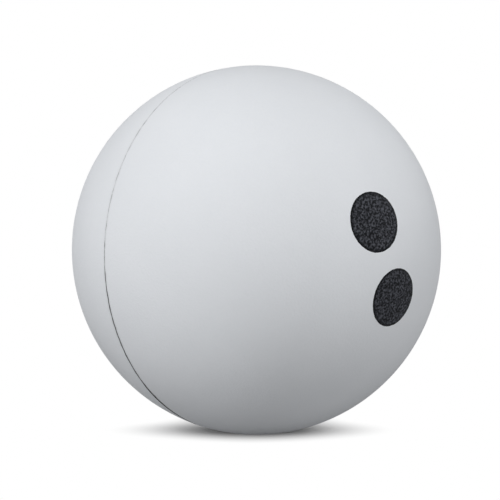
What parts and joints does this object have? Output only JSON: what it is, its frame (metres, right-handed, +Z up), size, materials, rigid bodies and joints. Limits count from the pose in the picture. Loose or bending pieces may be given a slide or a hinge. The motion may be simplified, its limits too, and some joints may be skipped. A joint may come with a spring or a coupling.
{
  "type": "squash ball",
  "caption": "Hollow pale rubber squash ball of bonded half shells, with a fine seam groove and a printed dot mark, struck with a racket to rebound off the court's walls.",
  "frame": {"origin": "centre of the ball", "axes": "+X through the pole of the printed half shell, square to the seam; +Z up, with the seam standing upright in the plane of Y and Z"},
  "size_m": [0.04, 0.04, 0.04],
  "materials": {
    "shell_rubber": "pale cool white rubber, buffed matt",
    "adhesive": "dark cured rubber adhesive",
    "print_ink": "near-black printing ink with fine pale speckle"
  },
  "bodies": {
    "root": {"half_shell_left": "shell_rubber", "half_shell_right": "shell_rubber", "seam_adhesive": "adhesive", "speed_dot_upper": "print_ink", "speed_dot_lower": "print_ink"}
  },
  "joints": []
}
